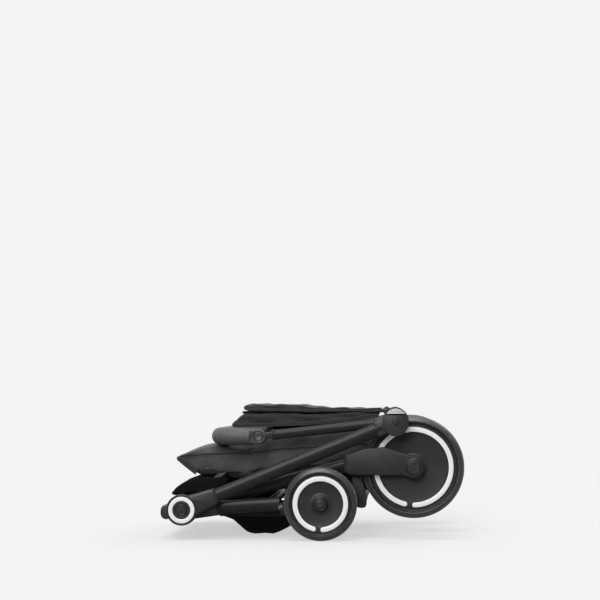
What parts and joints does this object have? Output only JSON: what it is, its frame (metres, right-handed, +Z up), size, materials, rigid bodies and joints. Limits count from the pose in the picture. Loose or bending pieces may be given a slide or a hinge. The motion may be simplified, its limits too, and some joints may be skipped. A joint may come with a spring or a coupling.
{
  "type": "pet stroller",
  "caption": "Pet stroller folded flat: black oval tube side frames on round hubs, U-shaped push bar, canopy, fabric cabin, basket and foam-tyred wheels.",
  "frame": {"origin": "centre of the footprint, on the surface that the folded stroller lies on", "axes": "+X towards the rear wheels, +Y to the stroller's right side, +Z up"},
  "size_m": [0.6845, 0.57, 0.306],
  "materials": {
    "frame_tube": "satin",
    "black_plastic": "satin",
    "steel_pins": "satin",
    "wheel_plastic": "matte",
    "tyre_foam": "matte",
    "button_grey": "satin",
    "grip_foam": "matte",
    "fabric": "matte",
    "board": "matte"
  },
  "bodies": {
    "front_frame": {"front_hub_left": "black_plastic", "front_hub_right": "black_plastic", "front_leg_left": "frame_tube", "front_leg_right": "frame_tube", "caster_housing_left": "black_plastic", "caster_housing_right": "black_plastic", "hub_bolt_left": "steel_pins", "hub_bolt_right": "steel_pins", "front_cross_tube": "frame_tube", "front_bumper_bar": "frame_tube", "storage_basket": "fabric", "front_apron": "fabric"},
    "rear_frame": {"rear_hub_left": "black_plastic", "rear_hub_right": "black_plastic", "rear_leg_left": "frame_tube", "rear_leg_right": "frame_tube", "rear_bracket_left": "black_plastic", "rear_bracket_right": "black_plastic", "rear_axle": "steel_pins", "rear_brace_bar": "frame_tube"},
    "brake": {"brake_pedal": "black_plastic"},
    "upper_frame": {"hub_cover_left": "black_plastic", "hub_cover_right": "black_plastic", "upper_tube_left": "frame_tube", "upper_tube_right": "frame_tube", "handle_housing_left": "black_plastic", "handle_housing_right": "black_plastic", "handle_bolt_left": "steel_pins", "handle_bolt_right": "steel_pins"},
    "handle": {"handle_hub_left": "black_plastic", "handle_hub_right": "black_plastic", "handle_arm_left": "frame_tube", "handle_arm_right": "frame_tube", "handle_tongue_left": "black_plastic", "handle_tongue_right": "black_plastic"},
    "grip": {"grip_core": "steel_pins", "grip_foam": "grip_foam", "grip_yoke_left": "black_plastic", "grip_yoke_right": "black_plastic"},
    "canopy_rear": {"canopy_bow_rear": "frame_tube", "canopy_fabric_rear": "fabric"},
    "canopy_front": {"canopy_bow_front": "frame_tube", "canopy_fabric_front": "fabric"},
    "cabin": {"cabin_frame": "frame_tube", "floor_board": "board", "cabin_fabric": "fabric"},
    "front_caster_left": {"front_fork_left": "black_plastic"},
    "front_wheel_left": {"front_left_tyre": "tyre_foam", "front_left_wheel": "wheel_plastic"},
    "rear_wheel_left": {"rear_left_tyre": "tyre_foam", "rear_left_wheel": "wheel_plastic"},
    "release_button_left": {"release_button_left": "button_grey"},
    "grip_button_left": {"grip_button_left": "black_plastic"},
    "front_caster_right": {"front_fork_right": "black_plastic"},
    "front_wheel_right": {"front_right_tyre": "tyre_foam", "front_right_wheel": "wheel_plastic"},
    "rear_wheel_right": {"rear_right_tyre": "tyre_foam", "rear_right_wheel": "wheel_plastic"},
    "release_button_right": {"release_button_right": "button_grey"},
    "grip_button_right": {"grip_button_right": "black_plastic"}
  },
  "joints": [
    {"name": "frame_fold", "type": "hinge", "parent": "front_frame", "child": "upper_frame", "pos_m": [-0.294, 0, 0.0675], "axis": [0, -1, 0], "range_deg": [0, 156]},
    {"name": "rear_leg_fold", "type": "hinge", "parent": "front_frame", "child": "rear_frame", "pos_m": [-0.294, 0, 0.0675], "axis": [0, -1, 0], "range_deg": [0, 78]},
    {"name": "cabin_fold", "type": "hinge", "parent": "upper_frame", "child": "cabin", "pos_m": [-0.294, 0, 0.0675], "axis": [0, -1, 0], "range_deg": [-56.2, 0]},
    {"name": "handle_fold", "type": "hinge", "parent": "upper_frame", "child": "handle", "pos_m": [0.188, 0, 0.2655], "axis": [0, -1, 0], "range_deg": [-163.8, 0]},
    {"name": "canopy_front_fold", "type": "hinge", "parent": "handle", "child": "canopy_front", "pos_m": [0.1667, 0, 0.29], "axis": [0, -1, 0], "range_deg": [0, 110]},
    {"name": "canopy_rear_fold", "type": "hinge", "parent": "handle", "child": "canopy_rear", "pos_m": [0.1667, 0, 0.29], "axis": [0, -1, 0], "range_deg": [0, 60.1]},
    {"name": "grip_tilt", "type": "hinge", "parent": "handle", "child": "grip", "pos_m": [-0.122, 0, 0.232], "axis": [0, 1, 0], "range_deg": [0, 15]},
    {"name": "brake_press", "type": "hinge", "parent": "rear_frame", "child": "brake", "pos_m": [0.2275, 0, 0.163], "axis": [0, 1, 0], "range_deg": [0, 12]},
    {"name": "caster_swivel_left", "type": "hinge", "parent": "front_frame", "child": "front_caster_left", "pos_m": [-0.049, -0.23925, 0.081], "axis": [0.8988, 0, 0.4384], "range_deg": [-20, 20]},
    {"name": "front_wheel_spin_left", "type": "hinge", "parent": "front_caster_left", "child": "front_wheel_left", "pos_m": [0.019, -0.2695, 0.082], "axis": [0, 1, 0], "continuous": true},
    {"name": "rear_wheel_spin_left", "type": "hinge", "parent": "rear_frame", "child": "rear_wheel_left", "pos_m": [0.2275, -0.219, 0.163], "axis": [0, 1, 0], "continuous": true},
    {"name": "release_press_left", "type": "slide", "parent": "upper_frame", "child": "release_button_left", "axis": [0, 1, 0], "range_m": [0, 0.0015], "stiffness_N_per_m": 400, "springref_m": -0.001},
    {"name": "grip_press_left", "type": "slide", "parent": "grip", "child": "grip_button_left", "axis": [0, 1, 0], "range_m": [0, 0.001], "stiffness_N_per_m": 400, "springref_m": -0.001},
    {"name": "caster_swivel_right", "type": "hinge", "parent": "front_frame", "child": "front_caster_right", "pos_m": [-0.049, 0.23925, 0.081], "axis": [0.8988, 0, 0.4384], "range_deg": [-20, 20]},
    {"name": "front_wheel_spin_right", "type": "hinge", "parent": "front_caster_right", "child": "front_wheel_right", "pos_m": [0.019, 0.2695, 0.082], "axis": [0, 1, 0], "continuous": true},
    {"name": "rear_wheel_spin_right", "type": "hinge", "parent": "rear_frame", "child": "rear_wheel_right", "pos_m": [0.2275, 0.219, 0.163], "axis": [0, 1, 0], "continuous": true},
    {"name": "release_press_right", "type": "slide", "parent": "upper_frame", "child": "release_button_right", "axis": [0, -1, 0], "range_m": [0, 0.0015], "stiffness_N_per_m": 400, "springref_m": -0.001},
    {"name": "grip_press_right", "type": "slide", "parent": "grip", "child": "grip_button_right", "axis": [0, -1, 0], "range_m": [0, 0.001], "stiffness_N_per_m": 400, "springref_m": -0.001}
  ],
  "couplings": [
    {"joint": "rear_leg_fold", "follows": "frame_fold", "ratio": 0.5},
    {"joint": "cabin_fold", "follows": "frame_fold", "ratio": -0.36},
    {"joint": "handle_fold", "follows": "frame_fold", "ratio": -1.05},
    {"joint": "canopy_front_fold", "follows": "frame_fold", "ratio": 0.705},
    {"joint": "canopy_rear_fold", "follows": "frame_fold", "ratio": 0.385}
  ]
}
